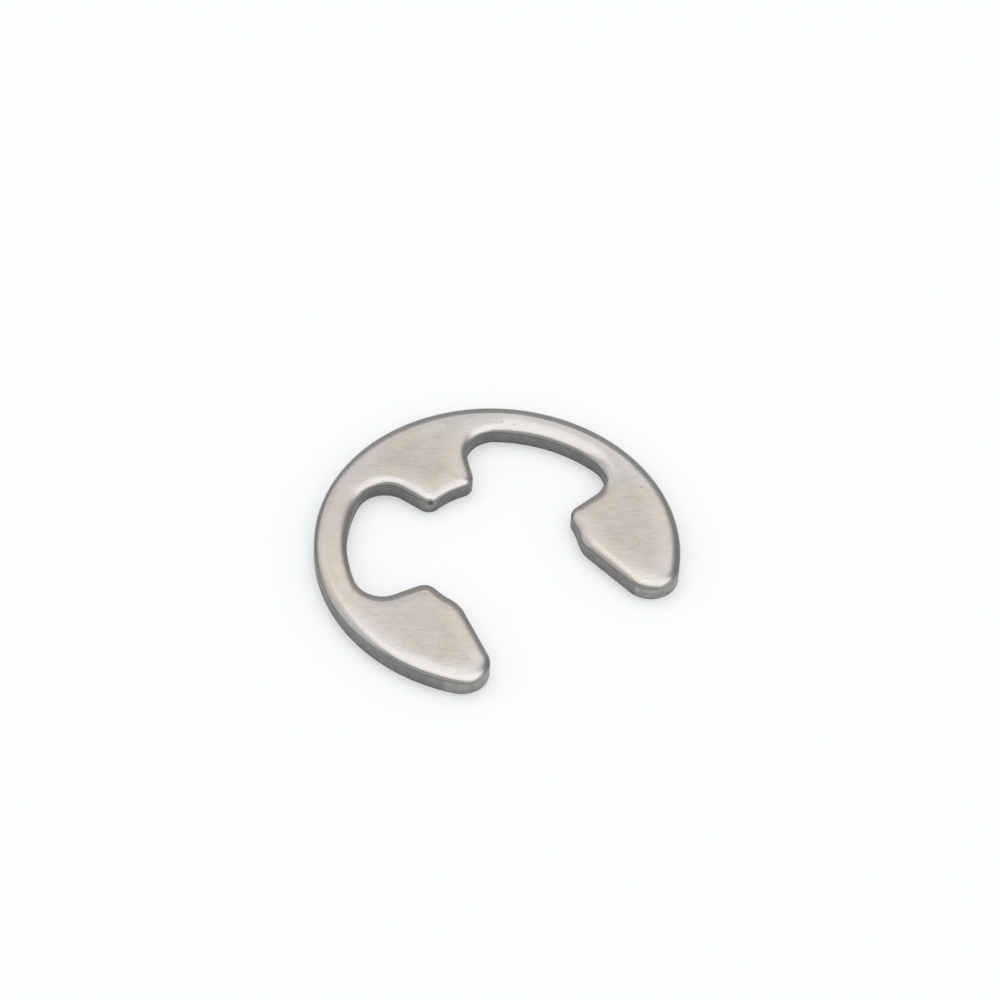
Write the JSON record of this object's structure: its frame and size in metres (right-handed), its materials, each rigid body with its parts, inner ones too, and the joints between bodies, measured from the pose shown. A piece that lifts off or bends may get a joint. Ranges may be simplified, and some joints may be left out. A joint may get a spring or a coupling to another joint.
{
  "type": "e clip",
  "caption": "Flat E-shaped stainless retaining ring whose prong and jaws snap sideways into a shaft's groove.",
  "frame": {"origin": "centre of the shaft seat, on the underside of the ring", "axes": "+Z along the shaft's axis and out of the rolled top face, +Y from the mouth to the centre prong"},
  "size_m": [0.0168, 0.0145, 0.0009],
  "materials": {
    "stainless": "satin strip surface with fine rolling grain, tumbled after stamping"
  },
  "bodies": {
    "root": {"e_clip": "stainless"}
  },
  "joints": []
}
